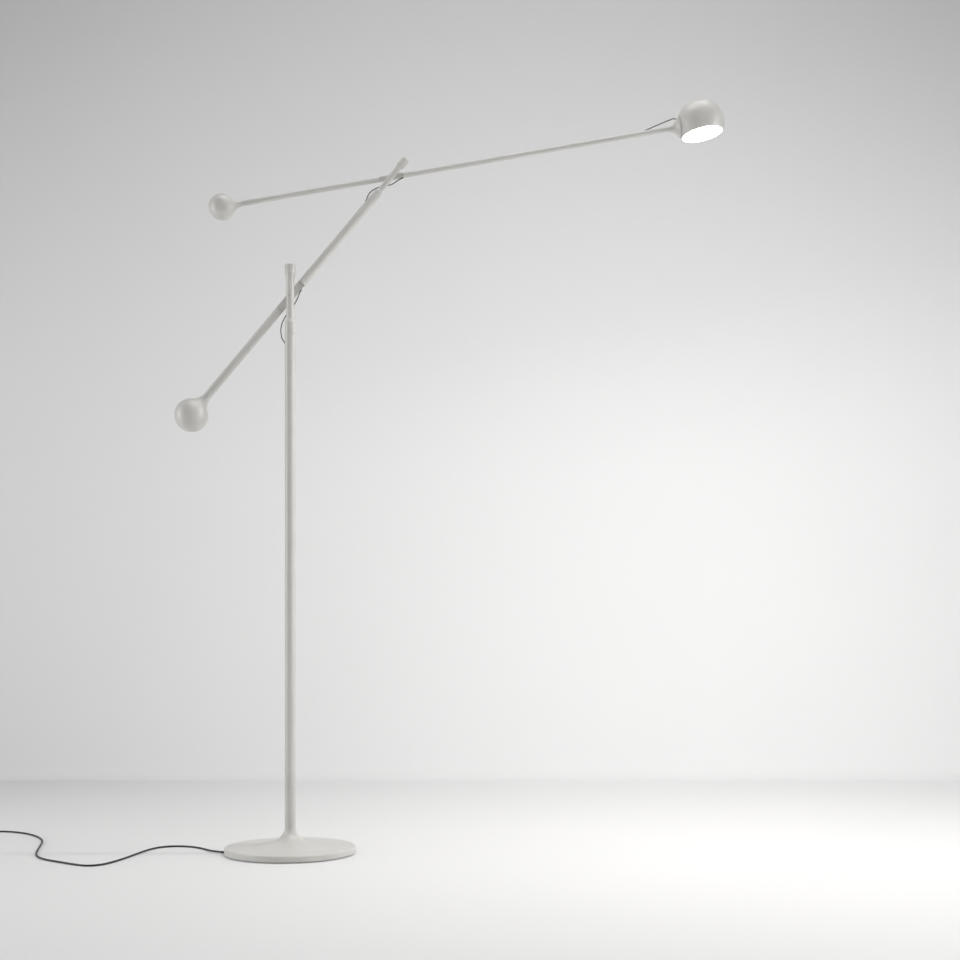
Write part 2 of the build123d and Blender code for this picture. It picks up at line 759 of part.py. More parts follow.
with BuildPart() as upper_tail_tube:
    with BuildSketch(station(upper, upper_tail_seam)):
        Circle(upper_radius)
        Circle(upper_bore, mode=Mode.SUBTRACT)
    extrude(amount=-upper_hub_half - upper_tail_seam)
finish(upper_tail_tube, "upper_tail_tube")

upper_bore_in = upper.from_local_coords((upper_lead_in, -upper_radius, 0))
upper_bore_meet = upper.from_local_coords((upper_hub_half, 0, 0))
upper_bore_dir = upper_bore_meet - upper_bore_in
with BuildPart() as upper_hub:
    with BuildSketch(station(upper, -upper_hub_half + seam)):
        Circle(upper_radius)
    extrude(amount=2 * (upper_hub_half - seam))
    with BuildSketch(station(upper, -upper_hub_half - upper_spigot)):
        Circle(upper_plug)
    extrude(amount=2 * (upper_hub_half + upper_spigot))
    with BuildSketch(Plane.XZ.offset(-upper_flat_y)):
        with Locations(Location((pivot_2[0], pivot_2[2]), upper_rise)):
            Rectangle(2 * upper_flat_half, 4 * upper_radius)
    extrude(amount=3 * upper_radius, mode=Mode.SUBTRACT)
    with BuildSketch(facing_back(upper, 0)):
        Circle(pin_2_radius + running)
    extrude(amount=4 * upper_radius, mode=Mode.SUBTRACT)
    with BuildSketch(facing_back(upper, spring_2_y - running)):
        Circle(nut_2_radius + nut_2_recess_gap)
    extrude(amount=2 * upper_radius, mode=Mode.SUBTRACT)
    with BuildSketch(Plane(origin=upper_bore_in, z_dir=upper_bore_dir)):
        Circle(thin_grommet_radius)
    extrude(amount=5, both=True, mode=Mode.SUBTRACT)
    with BuildSketch(Plane(origin=upper_bore_in, z_dir=upper_bore_dir)):
        Circle(lead_radius + thin_bore_clearance)
    extrude(amount=upper_bore_dir.length, mode=Mode.SUBTRACT)
    with BuildSketch(station(upper, upper_hub_half - lead_channel_lap)):
        Circle(lead_radius + lead_channel_clearance)
    extrude(amount=2 * upper_spigot, mode=Mode.SUBTRACT)
finish(upper_hub, "upper_hub")

upper_exit_at = head_distance - upper_lead_out
upper_exit = upper.from_local_coords((upper_exit_at, upper_radius, 0))
upper_exit_meet = upper.from_local_coords((upper_exit_at - 14, 0, 0))
upper_exit_dir = upper_exit - upper_exit_meet
with BuildPart() as head_tube:
    with BuildSketch(station(upper, upper_hub_half)):
        Circle(upper_radius)
        Circle(upper_bore, mode=Mode.SUBTRACT)
    extrude(amount=cup_seam - upper_hub_half)
    with BuildSketch(Plane(origin=upper_exit, z_dir=upper_exit_dir)):
        Circle(thin_grommet_radius)
    extrude(amount=8, both=True, mode=Mode.SUBTRACT)
finish(head_tube, "head_tube")

with BuildPart() as upper_grommets:
    with BuildSketch(Plane(origin=upper_bore_in, z_dir=upper_bore_dir)):
        Circle(thin_grommet_radius - running)
        Circle(lead_radius + running, mode=Mode.SUBTRACT)
    extrude(amount=grommet_length)
    with BuildSketch(Plane(origin=upper_exit, z_dir=upper_exit_dir)):
        Circle(thin_grommet_radius - running)
        Circle(lead_radius + running, mode=Mode.SUBTRACT)
    extrude(amount=-2.2)
finish(upper_grommets, "upper_grommets")

# ---- cup, glide ring and magnet ----
arc_half = asin(cup_flare / cup_arc) / 2
arc_middle = (
    cup_mouth - cup_flare + cup_arc * sin(arc_half),
    upper_radius + cup_arc * (1 - cos(arc_half)),
)
with BuildPart() as cup:
    with BuildSketch(upper):
        with BuildLine():
            Line((cup_seam - cup_sleeve, 0), (cup_mouth, 0))
            Line((cup_mouth, 0), (cup_mouth, lip_radius))
            ThreePointArc((cup_mouth, lip_radius), arc_middle, (cup_mouth - cup_flare, upper_radius))
            Line((cup_mouth - cup_flare, upper_radius), (cup_seam + seam, upper_radius))
            Line((cup_seam + seam, upper_radius), (cup_seam + seam, upper_plug))
            Line((cup_seam + seam, upper_plug), (cup_seam - cup_sleeve, upper_plug))
            Line((cup_seam - cup_sleeve, upper_plug), (cup_seam - cup_sleeve, 0))
        make_face()
    revolve(axis=upper_axis)
    with BuildSketch(station(upper, cup_mouth - ring_depth)):
        Circle(ring_outer + 2 * running)
    extrude(amount=ring_depth + 1, mode=Mode.SUBTRACT)
    with BuildSketch(station(upper, cup_mouth - magnet_depth)):
        Circle(magnet_radius + running)
    extrude(amount=magnet_depth, mode=Mode.SUBTRACT)
    with Locations(head):
        Sphere(head_radius + cup_clearance, mode=Mode.SUBTRACT)
finish(cup, "cup")

with BuildPart() as cup_magnet:
    with BuildSketch(station(upper, cup_mouth - magnet_depth)):
        Circle(magnet_radius)
    extrude(amount=magnet_depth - magnet_face)
finish(cup_magnet, "cup_magnet")

with BuildPart() as glide_ring:
    with BuildSketch(station(upper, cup_mouth - ring_depth + running)):
        Circle(ring_outer)
        Circle(ring_inner, mode=Mode.SUBTRACT)
    extrude(amount=ring_depth)
    with Locations(head):
        Sphere(head_radius + running, mode=Mode.SUBTRACT)
finish(glide_ring, "glide_ring")

# ---- head ----
opening_radius = sqrt(head_radius**2 - opening_drop**2)
inner_radius = head_radius - head_wall
inner_opening = sqrt(inner_radius**2 - opening_drop**2)
jack_dir = Vector(jack_along, jack_up, -jack_back).normalized()
jack_world = head.from_local_coords(jack_dir) - head.origin
jack_plane = Plane(origin=head.origin, z_dir=jack_world)
side = radians(20)
with BuildPart() as head_shell:
    with BuildSketch(head):
        with BuildLine():
            ThreePointArc(
                (opening_radius, -opening_drop),
                (head_radius * cos(side), head_radius * sin(side)),
                (0, head_radius),
            )
            Line((0, head_radius), (0, inner_radius))
            ThreePointArc(
                (0, inner_radius),
                (inner_radius * cos(side), inner_radius * sin(side)),
                (inner_opening, -opening_drop),
            )
            Line((inner_opening, -opening_drop), (opening_radius, -opening_drop))
        make_face()
    revolve(axis=head_axis)
    with BuildSketch(jack_plane.offset(head_radius - 8)):
        Circle(jack_radius + running)
    extrude(amount=16, mode=Mode.SUBTRACT)
finish(head_shell, "head_shell")

bezel_outer = inner_opening - 0.15
bezel_inner = bezel_outer - bezel_width
with BuildPart() as bezel_ring:
    with BuildSketch(head):
        with BuildLine():
            Polyline(
                (bezel_inner, -opening_drop + 0.2),
                (bezel_outer, -opening_drop + 0.2),
                (bezel_outer + 1.2, -opening_drop + 5),
                (bezel_inner - 2.5, -opening_drop + 5),
                (bezel_inner - 2.5, -opening_drop + diffuser_set_back + diffuser_thickness + running),
                (bezel_inner, -opening_drop + diffuser_set_back + diffuser_thickness + running),
                close=True,
            )
        make_face()
    revolve(axis=head_axis)
finish(bezel_ring, "bezel_ring")

with BuildPart() as diffuser:
    with BuildSketch(head):
        with Locations((0, -opening_drop + diffuser_set_back)):
            Rectangle(bezel_inner - running, diffuser_thickness, align=(Align.MIN, Align.MIN))
    revolve(axis=head_axis)
finish(diffuser, "diffuser")

sink_radius = inner_opening - sink_inset
board_radius = inner_opening - board_inset
reflector_top = inner_opening - reflector_inset
reflector_low = -opening_drop + diffuser_set_back + diffuser_thickness + 0.2
reflector_high = -opening_drop + 14
with BuildPart() as reflector:
    with BuildSketch(head):
        with BuildLine():
            Polyline(
                (bezel_inner - 3.0, reflector_low),
                (bezel_inner - 4.0, reflector_low),
                (reflector_top, reflector_high),
                (reflector_top + reflector_wall, reflector_high),
                close=True,
            )
        make_face()
    revolve(axis=head_axis)
finish(reflector, "reflector")

board_low = reflector_high + 0.1
sink_low = board_low + board_thickness
with BuildPart() as led_board:
    with BuildSketch(head):
        with Locations((0, board_low)):
            Rectangle(board_radius, board_thickness, align=(Align.MIN, Align.MIN))
    revolve(axis=head_axis)
    board_face = Plane(origin=head.from_local_coords((0, board_low, 0)), x_dir=head.x_dir, z_dir=-head.y_dir)
    with BuildSketch(board_face):
        with PolarLocations(reflector_top - led_inset, 12):
            Rectangle(3, 3)
        with PolarLocations(8, 6):
            Rectangle(3, 3)
    extrude(amount=0.8)
finish(led_board, "led_board")

sink_face = Plane(origin=head.from_local_coords((0, sink_low, 0)), x_dir=head.x_dir, z_dir=head.y_dir)
with BuildPart() as heat_sink:
    with BuildSketch(sink_face):
        Circle(sink_radius)
    extrude(amount=3)
    with BuildSketch(sink_face.offset(3)):
        with Locations(*[(0, step * 8) for step in range(-3, 4)]):
            Rectangle(44, 1.6)
    extrude(amount=14)
finish(heat_sink, "heat_sink")

with BuildPart() as control_board:
    with BuildSketch(sink_face.offset(19)):
        Circle(24)
    extrude(amount=1.6)
    with BuildSketch(sink_face.offset(20.6)):
        with GridLocations(16, 14, 2, 2):
            Rectangle(7, 6)
    extrude(amount=3)
finish(control_board, "control_board")

with BuildPart() as jack_socket:
    with BuildSketch(jack_plane.offset(head_radius - 7)):
        Circle(jack_radius)
        Circle(1.25, mode=Mode.SUBTRACT)
    extrude(amount=7.4)
finish(jack_socket, "jack_socket")

plug_tail_dir = Vector(-0.66, 0.54, 0.52)
plug_tail_dir = plug_tail_dir - jack_dir * plug_tail_dir.dot(jack_dir)
plug_tail_dir = plug_tail_dir.normalized()
plug_middle_local = jack_dir * (head_radius + plug_stand)
plug_end_local = plug_middle_local + plug_tail_dir * plug_tail
plug_middle = head.from_local_coords(plug_middle_local)
plug_tail_world = head.from_local_coords(plug_end_local) - plug_middle
with BuildPart() as jack_plug:
    with BuildSketch(jack_plane.offset(head_radius + 0.6)):
        Circle(plug_radius)
    extrude(amount=plug_stand - 0.6)
    with Locations(Location(plug_middle)):
        Sphere(plug_radius)
    with BuildSketch(Plane(origin=plug_middle, z_dir=plug_tail_world)):
        Circle(plug_radius)
    with BuildSketch(Plane(origin=plug_middle, z_dir=plug_tail_world).offset(plug_tail - 0.5)):
        Circle(lead_radius + 0.6)
    loft()
    with BuildSketch(jack_plane.offset(head_radius - 6)):
        Circle(1.2)
    extrude(amount=7)
    with BuildSketch(Plane(origin=plug_middle, z_dir=plug_tail_world).offset(plug_tail - 3)):
        Circle(lead_radius + running)
    extrude(amount=4, mode=Mode.SUBTRACT)
finish(jack_plug, "jack_plug")

# ---- inner leads ----
post_lead_points = [
    relief_start + Vector(1.6, -0.6, 0),
    (0, 0, relief_start.Z),
    (0, 0, lead_exit_height - post_radius * post_exit_dir.Z / -post_exit_dir.X),
    post_exit,
]
with BuildPart() as post_lead:
    with BuildLine() as post_lead_path:
        FilletPolyline(*post_lead_points, radius=post_lead_bend)
    with BuildSketch(Plane(origin=post_lead_path.line @ 0, z_dir=post_lead_path.line % 0)):
        Circle(lead_radius)
    sweep(transition=Transition.RIGHT)
finish(post_lead, "post_lead")

with BuildPart() as lower_lead:
    with BuildLine() as lower_lead_path:
        FilletPolyline(lower_bore_in, lower_bore_meet, lower_exit_meet, lower_exit, radius=inner_lead_bend)
    with BuildSketch(Plane(origin=lower_lead_path.line @ 0, z_dir=lower_lead_path.line % 0)):
        Circle(lead_radius)
    sweep()
finish(lower_lead, "lower_lead")

with BuildPart() as upper_lead:
    with BuildLine() as upper_lead_path:
        FilletPolyline(upper_bore_in, upper_bore_meet, upper_exit_meet, upper_exit, radius=inner_lead_bend)
    with BuildSketch(Plane(origin=upper_lead_path.line @ 0, z_dir=upper_lead_path.line % 0)):
        Circle(lead_radius)
    sweep()
finish(upper_lead, "upper_lead")

# ---- lead loops outside the tubes, each between two moving bodies ----
loops = {
    "loop_post_low": [
        post_exit,
    ]
    + places(
        post_end,
        [
            (-18.5, 0.3, -14.5),
            (-21.8, 1.0, 0.0),
            (-22.6, 2.0, 17.0),
            (-20.0, 3.2, 32.0),
            (-12.5, 4.0, 44.0),
        ],
    ),
    "loop_post_high": places(
        post_end,
        [
            (-12.5, 4.0, 44.0),
            (-2.0, 4.4, 56.0),
            (8.5, 4.4, 67.0),
            (15.4, 4.2, 80.0),
            (20.2, 4.0, 90.6),
        ],
    )
    + [lower_bore_in],
    "loop_elbow": places(
        elbow,
        [
            (-lower_lead_out, lower_radius, 0),
            (-69.5, 13.4, -0.2),
            (-55.0, 15.2, -0.8),
            (-38.0, 9.0, -2.2),
            (-24.0, -1.2, -2.8),
            (-12.0, -11.5, -3.0),
            (2.5, -15.6, -3.0),
        ],
    )
    + [upper_bore_in],
    "loop_cup": places(
        upper,
        [
            (upper_exit_at, upper_radius, 0),
            (614.0, 12.4, -5.0),
            (636.0, 20.0, -13.0),
            (656.0, 27.5, -22.0),
            (668.0, 31.8, -28.0),
        ],
    ),
    "loop_head": places(upper, [(668.0, 31.8, -28.0), (678.5, 34.2, -34.0)])
    + places(head, [plug_end_local + plug_tail_dir * 8, plug_end_local - plug_tail_dir * 3]),
}
for name, route in loops.items():
    points = trimmed(route, lead_gap)
    radii = corner_radii(points)
    with BuildPart() as loop:
        with BuildLine() as loop_path:
            FilletPolyline(*points, radius=radii)
        with BuildSketch(Plane(origin=loop_path.line @ 0, z_dir=loop_path.line % 0)):
            Circle(lead_radius)
        sweep()
    report_lead(name, loop.part, loop_path.wire().length, lead_radius, radii)
    finish(loop, name)

# ---- mains cord on the floor ----
with BuildPart() as cord_relief:
    with BuildSketch(relief_plane):
        Circle(relief_root + 0.8)
    extrude(amount=3)
    with BuildSketch(relief_plane):
        Circle(relief_root)
    extrude(amount=relief_inside + 1)
    with BuildSketch(relief_plane.offset(relief_inside + 1)):
        Circle(relief_root)
    with BuildSketch(relief_plane.offset(relief_length)):
        Circle(relief_tip)
    loft()
    with BuildSketch(relief_plane.offset(-1)):
        Circle(cord_radius + running)
    extrude(amount=relief_length + 2, mode=Mode.SUBTRACT)
finish(cord_relief, "cord_relief")

coil_x = coil_centre[0]
coil_y = coil_centre[1]
coil_north = coil_y + coil_mean_radius + 2 * cord_radius
cord_points = [
    relief_start,
    relief_start + relief_dir * 43,
    (-197, 36, 2.25),
    (-223, 69, 2.25),
    (-251, 90, 2.25),
    (-288, 98, 2.25),
    (-322, 80, 2.25),
    (-338, 36, 2.25),
    (-347, -20, 2.25),
    (-357, -78, 2.25),
    (-369, -134, 2.25),
    (-385, -176, 2.25),
    (-413, -190, 2.25),
    (-446, -170, 2.25),
    (-490, -136, 2.25),
    (-533, -102, 2.25),
    (-563, -62, 2.25),
    (-582, -10, 2.25),
    (-597, 50, 2.25),
    (-611, 110, 2.25),
    (-625, 168, 2.25),
    (-648, 224, 2.25),
    (-681, 276, 2.25),
    (-720, 318, 2.25),
    (-760, 342, 2.25),
    (-799, coil_north, 2.25),
    (coil_x + coil_stub, coil_north, 2.25),
]
cord_radii = corner_radii(cord_points)
with BuildPart() as mains_cord:
    with BuildLine() as cord_path:
        FilletPolyline(*cord_points, radius=cord_radii)
    with BuildSketch(Plane(origin=cord_path.line @ 0, z_dir=cord_path.line % 0)):
        Circle(cord_radius)
    sweep()
report_lead("mains_cord", mains_cord.part, cord_path.wire().length, cord_radius, cord_radii)
finish(mains_cord, "mains_cord")

coil_width = 6 * cord_radius
coil_height = 4 * cord_radius + 0.15
adapter_x = coil_x - coil_mean_radius - 2 * cord_radius
boot_tip = coil_y - 25
with BuildPart() as cord_coil:
    with BuildSketch(Plane.XZ):
        with Locations((coil_mean_radius, coil_height / 2)):
            RectangleRounded(coil_width, coil_height, cord_radius - 0.1)
    revolve(axis=post_axis)
    with BuildSketch(Plane.YZ.offset(coil_stub)):
        with Locations((coil_north - coil_y, 2.25)):
            Circle(cord_radius)
    extrude(amount=-coil_stub)
    with BuildSketch(Plane(origin=(adapter_x - coil_x, boot_tip - coil_y, 7.0), z_dir=(0, 1, -0.03))):
        Circle(cord_radius)
    extrude(amount=25)
cord_coil.part = cord_coil.part.moved(Location((coil_x, coil_y, 0)))
finish(cord_coil, "cord_coil")

with BuildPart() as adapter:
    with BuildSketch(Plane.XY):
        with Locations((adapter_x, boot_tip - adapter_boot)):
            Rectangle(adapter_width, adapter_length, align=(Align.CENTER, Align.MAX))
    extrude(amount=adapter_height)
    fillet(adapter.edges().filter_by(Axis.Z), 5)
    fillet(adapter.faces().sort_by(Axis.Z)[-1].edges(), 2.5)
    fillet(adapter.faces().sort_by(Axis.Z)[0].edges(), 1.5)
    boot_plane = Plane(
        origin=(adapter_x, boot_tip - adapter_boot - 1, 7.0), x_dir=(1, 0, 0), z_dir=(0, 1, 0)
    )
    with BuildSketch(boot_plane):
        Circle(4.6)
    with BuildSketch(boot_plane.offset(adapter_boot + 1 - 0.2)):
        Circle(cord_radius + 0.5)
    loft()
finish(adapter, "adapter")

with BuildPart() as adapter_pins:
    adapter_back = boot_tip - adapter_boot - adapter_length
    with BuildSketch(Plane.XZ.offset(-adapter_back)):
        with Locations(*[(adapter_x + shift * pin_spacing / 2, adapter_height / 2) for shift in (-1, 1)]):
            Circle(plug_pin_radius)
    extrude(amount=plug_pin_length)
    fillet(adapter_pins.faces().filter_by(Axis.Y).sort_by(Axis.Y)[:2].edges(), 0.9)
finish(adapter_pins, "adapter_pins")

print("pivot 2", [round(value, 2) for value in pivot_2])
print("head centre", head.origin)
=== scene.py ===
import math

import bpy
import numpy as np
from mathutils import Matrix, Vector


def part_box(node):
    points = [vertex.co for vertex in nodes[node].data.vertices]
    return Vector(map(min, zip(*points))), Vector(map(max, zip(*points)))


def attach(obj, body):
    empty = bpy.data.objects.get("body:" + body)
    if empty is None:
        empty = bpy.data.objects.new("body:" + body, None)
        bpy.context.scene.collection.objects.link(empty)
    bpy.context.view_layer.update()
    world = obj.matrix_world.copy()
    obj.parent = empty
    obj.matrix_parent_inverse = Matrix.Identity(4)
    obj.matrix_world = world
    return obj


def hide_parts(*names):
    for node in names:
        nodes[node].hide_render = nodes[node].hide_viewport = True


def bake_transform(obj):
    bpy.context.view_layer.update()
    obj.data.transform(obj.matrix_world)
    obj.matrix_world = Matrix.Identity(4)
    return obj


# Adjustable arm floor lamp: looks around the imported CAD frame. Metres, +Z up, the viewer at -Y.
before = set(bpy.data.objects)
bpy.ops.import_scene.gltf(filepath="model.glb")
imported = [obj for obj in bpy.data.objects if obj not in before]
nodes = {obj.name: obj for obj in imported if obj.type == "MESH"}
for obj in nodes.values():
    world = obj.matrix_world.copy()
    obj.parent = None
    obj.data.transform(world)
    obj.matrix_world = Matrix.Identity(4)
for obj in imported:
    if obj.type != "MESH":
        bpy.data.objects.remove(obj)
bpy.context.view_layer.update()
print("stage: frame loaded,", len(nodes), "nodes")

# ---- camera ----
cameraLook = {"place": (0.437, -3.07, 0.475), "lens": 50.0, "sensor": 36.0, "shiftUp": 0.174}
cameraData = bpy.data.cameras.new("lampCamera")
cameraData.lens = cameraLook["lens"]
cameraData.sensor_width = cameraLook["sensor"]
cameraData.shift_y = cameraLook["shiftUp"]
camera = bpy.data.objects.new("lampCamera", cameraData)
camera.location = cameraLook["place"]
camera.rotation_euler = (math.radians(90), 0, 0)
bpy.context.scene.collection.objects.link(camera)
bpy.context.scene.camera = camera
bpy.context.scene.view_settings.view_transform = "Standard"


# ---- small helpers for materials ----
def startMaterial(name):
    material = bpy.data.materials.new(name)
    material.use_nodes = True
    nodeTree = material.node_tree
    return material, nodeTree.nodes, nodeTree.links, nodeTree.nodes["Principled BSDF"]


# A noise pattern on object coordinates; cells per metre is its scale.
def noisePattern(nodeTree, links, cellsPerMetre, detail=3.0, stretch=(1.0, 1.0, 1.0)):
    coordinates = nodeTree.new("ShaderNodeTexCoord")
    mapping = nodeTree.new("ShaderNodeMapping")
    mapping.inputs["Scale"].default_value = stretch
    noise = nodeTree.new("ShaderNodeTexNoise")
    noise.inputs["Scale"].default_value = cellsPerMetre
    noise.inputs["Detail"].default_value = detail
    links.new(coordinates.outputs["Object"], mapping.inputs["Vector"])
    links.new(mapping.outputs["Vector"], noise.inputs["Vector"])
    return noise.outputs["Fac"]


# Blend of two colours by a pattern, between its low and high values.
def colourBetween(nodeTree, links, factor, dark, light, low=0.35, high=0.65):
    ramp = nodeTree.new("ShaderNodeValToRGB")
    ramp.color_ramp.elements[0].position = low
    ramp.color_ramp.elements[1].position = high
    ramp.color_ramp.elements[0].color = (*dark, 1)
    ramp.color_ramp.elements[1].color = (*light, 1)
    links.new(factor, ramp.inputs["Fac"])
    return ramp.outputs["Color"]


# A value moved from one range to another, straight or with soft ends.
def moved(nodeTree, links, value, fromRange, toRange, soft=False):
    spread = nodeTree.new("ShaderNodeMapRange")
    if soft:
        spread.interpolation_type = "SMOOTHSTEP"
    spread.inputs["From Min"].default_value = fromRange[0]
    spread.inputs["From Max"].default_value = fromRange[1]
    spread.inputs["To Min"].default_value = toRange[0]
    spread.inputs["To Max"].default_value = toRange[1]
    links.new(value, spread.inputs["Value"])
    return spread.outputs["Result"]


# A value spread over a range by a pattern, whose own values lie mostly within usualPattern.
usualPattern = (0.3, 0.7)


def valueBetween(nodeTree, links, factor, low, high):
    return moved(nodeTree, links, factor, usualPattern, (low, high))


# Sum, product or other arithmetic of a value with a second value or a constant.
def arithmetic(nodeTree, links, operation, first, second=None):
    step = nodeTree.new("ShaderNodeMath")
    step.operation = operation
    links.new(first, step.inputs[0])
    if isinstance(second, float):
        step.inputs[1].default_value = second
    elif second is not None:
        links.new(second, step.inputs[1])
    return step.outputs["Value"]


# Height pattern turned into a bumped normal, with its depth in metres.
def bumped(nodeTree, links, shader, height, depth, strength=1.0):
    bump = nodeTree.new("ShaderNodeBump")
    bump.inputs["Strength"].default_value = strength
    bump.inputs["Distance"].default_value = depth
    links.new(height, bump.inputs["Height"])
    links.new(bump.outputs["Normal"], shader.inputs["Normal"])


# A finish from one settings dictionary: two close colours, a roughness range, a grain and its
# depth. The details are how many finer noises are added to each pattern.
toneDetail, plainDetail = 4.0, 2.0


def finishFrom(name, look):
    material, tree, links, shader = startMaterial(name)
    tone = noisePattern(tree, links, look["toneCells"], toneDetail)
    links.new(colourBetween(tree, links, tone, look["dark"], look["light"]),
              shader.inputs["Base Color"])
    stretch = look.get("stretch", (1, 1, 1))
    grain = noisePattern(tree, links, look["grainCells"], plainDetail, stretch)
    links.new(valueBetween(tree, links, grain, *look["roughness"]), shader.inputs["Roughness"])
    bumped(tree, links, shader, grain, look["grainDepth"], look.get("grainStrength", 1.0))
    shader.inputs["Metallic"].default_value = look.get("metallic", 0.0)
    shader.inputs["Specular IOR Level"].default_value = look.get("specular", 0.5)
    shader.inputs["Coat Weight"].default_value = look.get("coat", 0.0)
    shader.inputs["Coat Roughness"].default_value = look.get("coatRoughness", 0.3)
    return material


# ---- finishes, one dictionary each ----
finishes = {
    "paint": {"dark": (0.560, 0.550, 0.524), "light": (0.605, 0.595, 0.568), "toneCells": 9.0,
              "roughness": (0.36, 0.46), "grainCells": 1500.0, "grainDepth": 0.00004,
              "grainStrength": 0.3, "specular": 0.55, "coat": 0.22, "coatRoughness": 0.3},
    "iron": {"dark": (0.05, 0.05, 0.055), "light": (0.10, 0.10, 0.105), "toneCells": 60.0,
             "roughness": (0.6, 0.85), "grainCells": 500.0, "grainDepth": 0.0004},
    "rubber_black": {"dark": (0.018, 0.018, 0.018), "light": (0.034, 0.034, 0.034),
                     "toneCells": 40.0, "roughness": (0.6, 0.8), "grainCells": 900.0,
                     "grainDepth": 0.0001},
    "steel": {"dark": (0.50, 0.50, 0.51), "light": (0.62, 0.62, 0.63), "toneCells": 80.0,
              "metallic": 1.0, "roughness": (0.22, 0.38), "grainCells": 2500.0,
              "grainDepth": 0.00002},
    "brass": {"dark": (0.62, 0.46, 0.20), "light": (0.75, 0.58, 0.29), "toneCells": 80.0,
              "metallic": 1.0, "roughness": (0.2, 0.35), "grainCells": 2500.0,
              "grainDepth": 0.00002},
    "glide_plastic": {"dark": (0.70, 0.70, 0.67), "light": (0.76, 0.76, 0.73), "toneCells": 50.0,
                      "roughness": (0.35, 0.5), "grainCells": 1200.0, "grainDepth": 0.00003},
    "magnet": {"dark": (0.68, 0.68, 0.68), "light": (0.78, 0.78, 0.77), "toneCells": 70.0,
               "metallic": 1.0, "roughness": (0.12, 0.22), "grainCells": 1800.0,
               "grainDepth": 0.00002},
    "heat_sink_metal": {"dark": (0.60, 0.60, 0.61), "light": (0.70, 0.70, 0.71), "toneCells": 60.0,
                        "metallic": 1.0, "roughness": (0.35, 0.5), "grainCells": 900.0,
                        "grainDepth": 0.00004, "stretch": (1, 6, 1)},
    "circuit_board": {"dark": (0.70, 0.71, 0.69), "light": (0.78, 0.79, 0.77), "toneCells": 120.0,
                      "roughness": (0.4, 0.55), "grainCells": 2200.0, "grainDepth": 0.00002},
    "white_plastic": {"dark": (0.80, 0.80, 0.79), "light": (0.84, 0.84, 0.83), "toneCells": 40.0,
                      "roughness": (0.22, 0.3), "grainCells": 1500.0, "grainDepth": 0.00002},
    "black_plastic": {"dark": (0.016, 0.016, 0.017), "light": (0.028, 0.028, 0.029),
                      "toneCells": 60.0, "roughness": (0.42, 0.6), "grainCells": 1600.0,
                      "grainDepth": 0.00008},
}
finish = {name: finishFrom(name, look) for name, look in finishes.items()}

# Lead jacket: a fine slanted rib pattern on the tube's own map, u along it and v round it.
jacketLook = {"dark": (0.012, 0.012, 0.013), "light": (0.036, 0.036, 0.038), "ribsPerMetre": 900.0,
              "slant": 3.0, "bandScale": 0.5, "waver": 0.4, "blend": (0.1, 0.9),
              "roughness": (0.42, 0.6), "ribDepth": 0.00008, "ribStrength": 0.6, "specular": 0.4}


def jacketFinish(name, look):
    material, tree, links, shader = startMaterial(name)
    mapRead = tree.new("ShaderNodeUVMap")
    mapRead.uv_map = "alongLead"
    mapping = tree.new("ShaderNodeMapping")
    mapping.inputs["Scale"].default_value = (look["ribsPerMetre"], look["slant"], 1)
    wave = tree.new("ShaderNodeTexWave")
    wave.bands_direction = "DIAGONAL"
    wave.inputs["Scale"].default_value = look["bandScale"]
    wave.inputs["Distortion"].default_value = look["waver"]
    links.new(mapRead.outputs["UV"], mapping.inputs["Vector"])
    links.new(mapping.outputs["Vector"], wave.inputs["Vector"])
    ribs = wave.outputs["Fac"]
    links.new(colourBetween(tree, links, ribs, look["dark"], look["light"], *look["blend"]),
              shader.inputs["Base Color"])
    links.new(valueBetween(tree, links, ribs, *look["roughness"]), shader.inputs["Roughness"])
    bumped(tree, links, shader, ribs, look["ribDepth"], look["ribStrength"])
    shader.inputs["Specular IOR Level"].default_value = look["specular"]
    return material


finish["lead_jacket"] = jacketFinish("lead_jacket", jacketLook)

# Opal diffuser: lit from inside, a little brighter in the middle than at its rim.
diffuserLook = {"rimColour": (1.0, 0.955, 0.89), "middleColour": (1.0, 0.985, 0.955),
                "strength": 9.0, "glowRadius": 0.06, "glowBlend": (0.0, 0.7),
                "unlitColour": (0.9, 0.89, 0.87), "grainCells": 900.0, "roughness": (0.45, 0.55)}


def opalFinish(name, look, middle):
    material, tree, links, shader = startMaterial(name)
    radius = look["glowRadius"]
    coordinates = tree.new("ShaderNodeTexCoord")
    mapping = tree.new("ShaderNodeMapping")
    mapping.inputs["Scale"].default_value = (1 / radius,) * 3
    mapping.inputs["Location"].default_value = tuple(-value / radius for value in middle)
    glow = tree.new("ShaderNodeTexGradient")
    glow.gradient_type = "SPHERICAL"
    links.new(coordinates.outputs["Object"], mapping.inputs["Vector"])
    links.new(mapping.outputs["Vector"], glow.inputs["Vector"])
    links.new(colourBetween(tree, links, glow.outputs["Fac"], look["rimColour"],
                            look["middleColour"], *look["glowBlend"]),
              shader.inputs["Emission Color"])
    grain = noisePattern(tree, links, look["grainCells"])
    links.new(valueBetween(tree, links, grain, *look["roughness"]), shader.inputs["Roughness"])
    shader.inputs["Base Color"].default_value = (*look["unlitColour"], 1)
    shader.inputs["Emission Strength"].default_value = look["strength"]
    return material


diffuserLow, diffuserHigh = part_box("diffuser")
diffuserMiddle = tuple((diffuserLow + diffuserHigh) / 2)
finish["opal_diffuser"] = opalFinish("opal_diffuser", diffuserLook, diffuserMiddle)
print("stage: finishes made")

